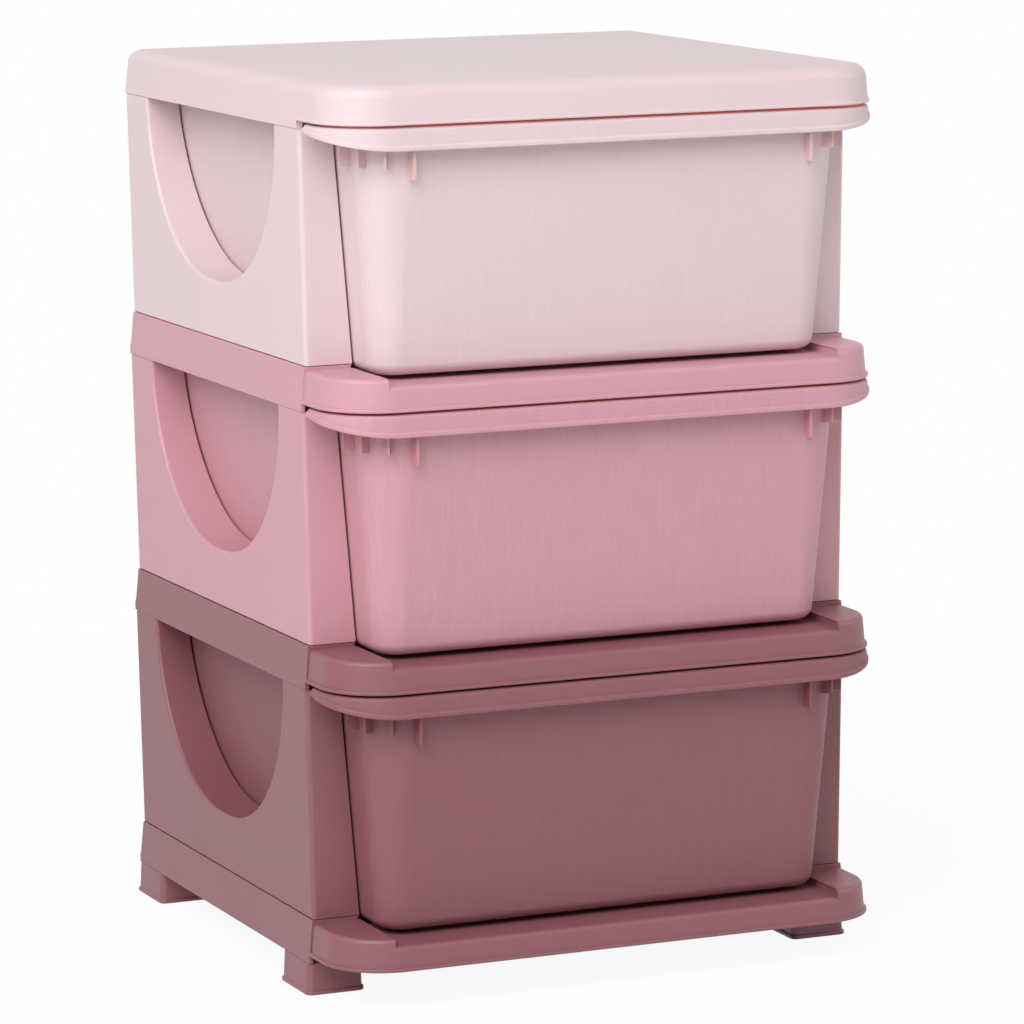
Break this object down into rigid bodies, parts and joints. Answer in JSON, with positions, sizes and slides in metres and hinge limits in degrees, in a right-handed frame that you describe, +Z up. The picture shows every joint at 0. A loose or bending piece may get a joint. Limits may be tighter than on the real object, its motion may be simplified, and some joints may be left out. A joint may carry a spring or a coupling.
{
  "type": "drawer tower",
  "caption": "Free-standing child's drawer tower of push-together plastic tiers: tapered sliding tubs with handle lips between side panels with U-shaped notches, under a flat cover.",
  "frame": {"origin": "on the floor, under the middle of the overall box", "axes": "+Z up, -Y the way the drawers open, +X to the right of someone who looks at the drawers"},
  "size_m": [0.373, 0.3772, 0.565],
  "materials": {
    "pale_pink_plastic": "satin",
    "pink_plastic": "satin",
    "mauve_plastic": "satin"
  },
  "bodies": {
    "tower": {"top_cover": "pale_pink_plastic", "upper_shelf": "pink_plastic", "lower_shelf": "mauve_plastic", "base_tray": "mauve_plastic", "side_panel_bottom_left": "mauve_plastic", "side_panel_bottom_right": "mauve_plastic", "side_panel_middle_left": "pink_plastic", "side_panel_middle_right": "pink_plastic", "side_panel_top_left": "pale_pink_plastic", "side_panel_top_right": "pale_pink_plastic", "foot_front_left": "mauve_plastic", "foot_front_right": "mauve_plastic", "foot_back_left": "mauve_plastic", "foot_back_right": "mauve_plastic"},
    "drawer_bottom_body": {"drawer_bottom": "mauve_plastic"},
    "drawer_middle_body": {"drawer_middle": "pink_plastic"},
    "drawer_top_body": {"drawer_top": "pale_pink_plastic"}
  },
  "joints": [
    {"name": "drawer_bottom_slide", "type": "slide", "parent": "tower", "child": "drawer_bottom_body", "axis": [0, -1, 0], "range_m": [0, 0.25]},
    {"name": "drawer_middle_slide", "type": "slide", "parent": "tower", "child": "drawer_middle_body", "axis": [0, -1, 0], "range_m": [0, 0.25]},
    {"name": "drawer_top_slide", "type": "slide", "parent": "tower", "child": "drawer_top_body", "axis": [0, -1, 0], "range_m": [0, 0.25]}
  ]
}
